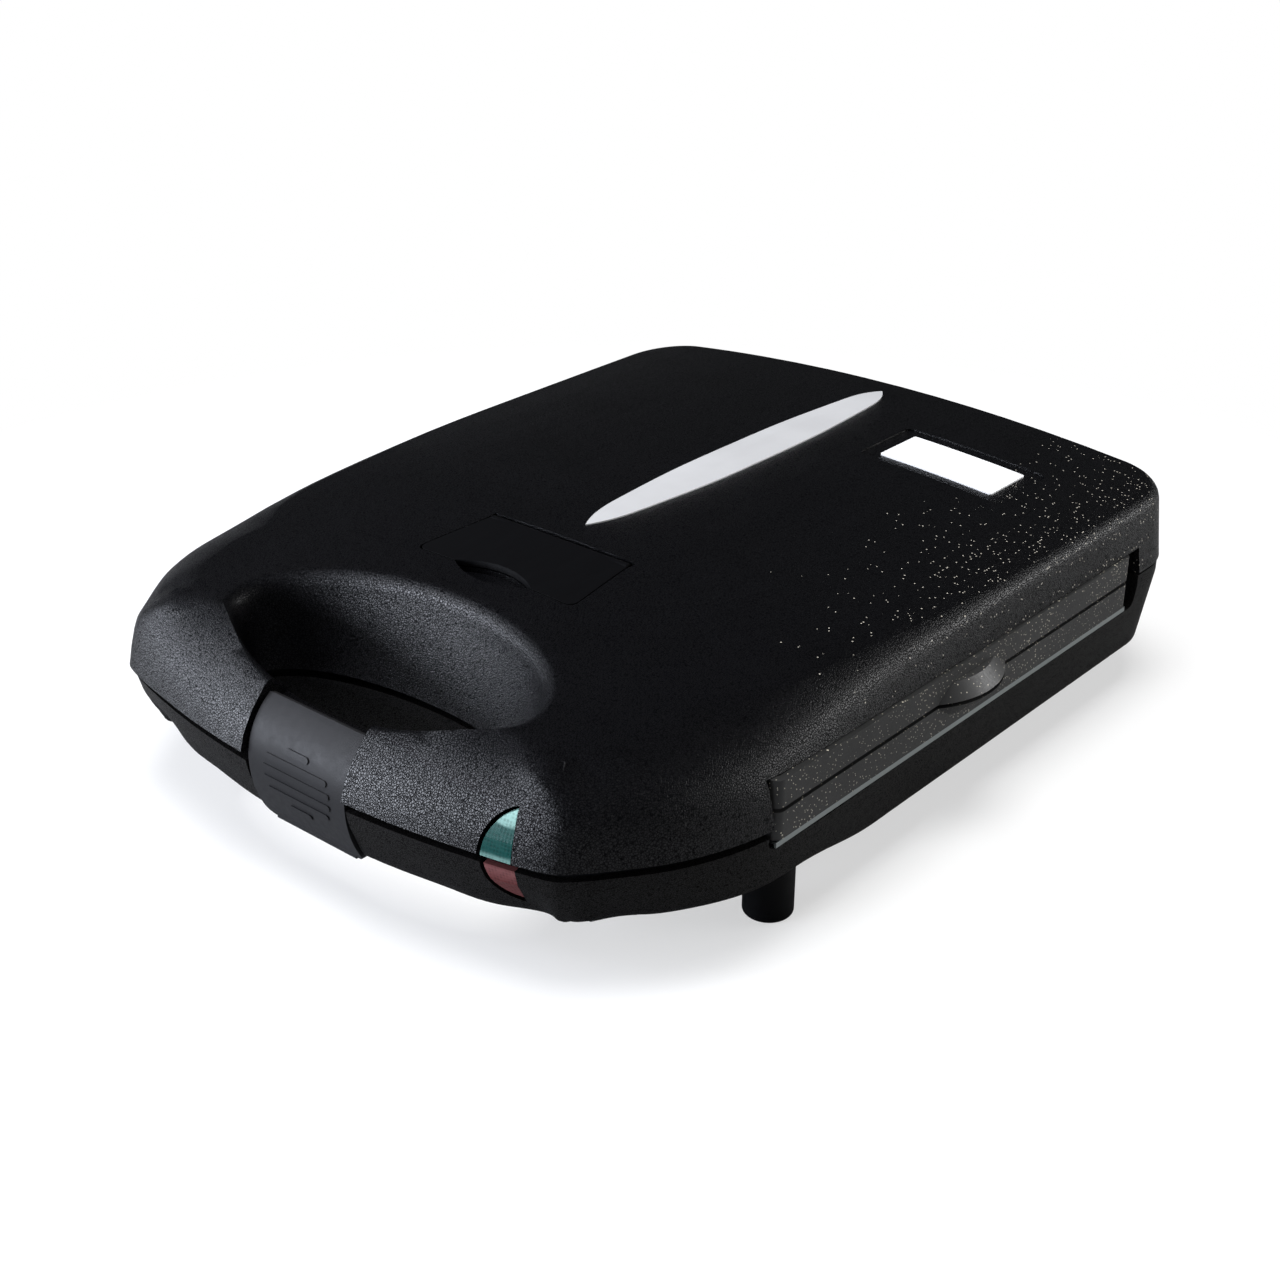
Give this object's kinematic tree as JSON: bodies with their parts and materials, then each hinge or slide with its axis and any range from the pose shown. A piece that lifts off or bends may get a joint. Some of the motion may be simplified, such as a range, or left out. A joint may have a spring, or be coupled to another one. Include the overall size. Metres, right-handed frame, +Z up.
{
  "type": "donut maker",
  "caption": "Hinged electric donut maker with a latched handle lid, a pair of ring-mould plates, two lamps and a fold-out prop.",
  "frame": {"origin": "middle of the overall length and width, on the plane the feet stand on", "axes": "+Z up, +Y from the handle to the hinge, +X to the user's right"},
  "size_m": [0.2666, 0.331, 0.0834],
  "materials": {
    "black_shell": "leather grain moulding",
    "grey_shell": "fine grain moulding",
    "latch_plastic": "satin",
    "flap_plastic": "satin",
    "inner_plastic": "plain moulding",
    "coated_plate": "speckled non-stick coating",
    "steel_sheet": "rolled",
    "heater_tube": "sheathed tube",
    "bright_steel": "ground pin",
    "silver_trim": "satin",
    "white_badge": "smooth",
    "green_lamp": "ribbed lens",
    "red_lamp": "ribbed lens",
    "lamp_glass": "clear",
    "foot_plastic": "satin",
    "gland_rubber": "matte",
    "pale_ceramic": "porcelain insulator"
  },
  "bodies": {
    "base": {"base_shell": "grey_shell", "base_front_cover": "inner_plastic", "base_rear_cover": "inner_plastic", "base_reflector": "steel_sheet", "base_element": "heater_tube", "lower_plate": "coated_plate", "thermostat": "pale_ceramic", "thermal_fuse": "bright_steel", "terminal_block": "pale_ceramic", "cord_gland": "gland_rubber", "base_screws": "bright_steel", "red_lens": "red_lamp", "red_lamp": "lamp_glass", "hinge_pin_left": "bright_steel", "hinge_pin_right": "bright_steel", "foot_front_left": "foot_plastic", "foot_front_right": "foot_plastic", "foot_rear_left": "foot_plastic", "foot_rear_right": "foot_plastic"},
    "lid": {"lid_shell": "black_shell", "lid_front_cover": "inner_plastic", "lid_rear_cover": "inner_plastic", "lid_reflector": "steel_sheet", "lid_element": "heater_tube", "upper_plate": "coated_plate", "lid_screws": "bright_steel", "green_lens": "green_lamp", "green_lamp": "lamp_glass", "inlay": "silver_trim", "badge_plate": "white_badge", "latch_pin": "bright_steel", "flap_pin": "bright_steel"},
    "latch": {"latch": "latch_plastic"},
    "prop": {"prop_flap": "flap_plastic"}
  },
  "joints": [
    {"name": "lid_hinge", "type": "hinge", "parent": "base", "child": "lid", "pos_m": [0, 0.16, 0.049], "axis": [-1, 0, 0], "range_deg": [0, 175]},
    {"name": "latch_pivot", "type": "hinge", "parent": "lid", "child": "latch", "pos_m": [0, -0.1521, 0.0572], "axis": [-1, 0, 0], "range_deg": [0, 60]},
    {"name": "prop_pivot", "type": "hinge", "parent": "lid", "child": "prop", "pos_m": [0, -0.0461, 0.08], "axis": [-1, 0, 0], "range_deg": [0, 95]}
  ]
}
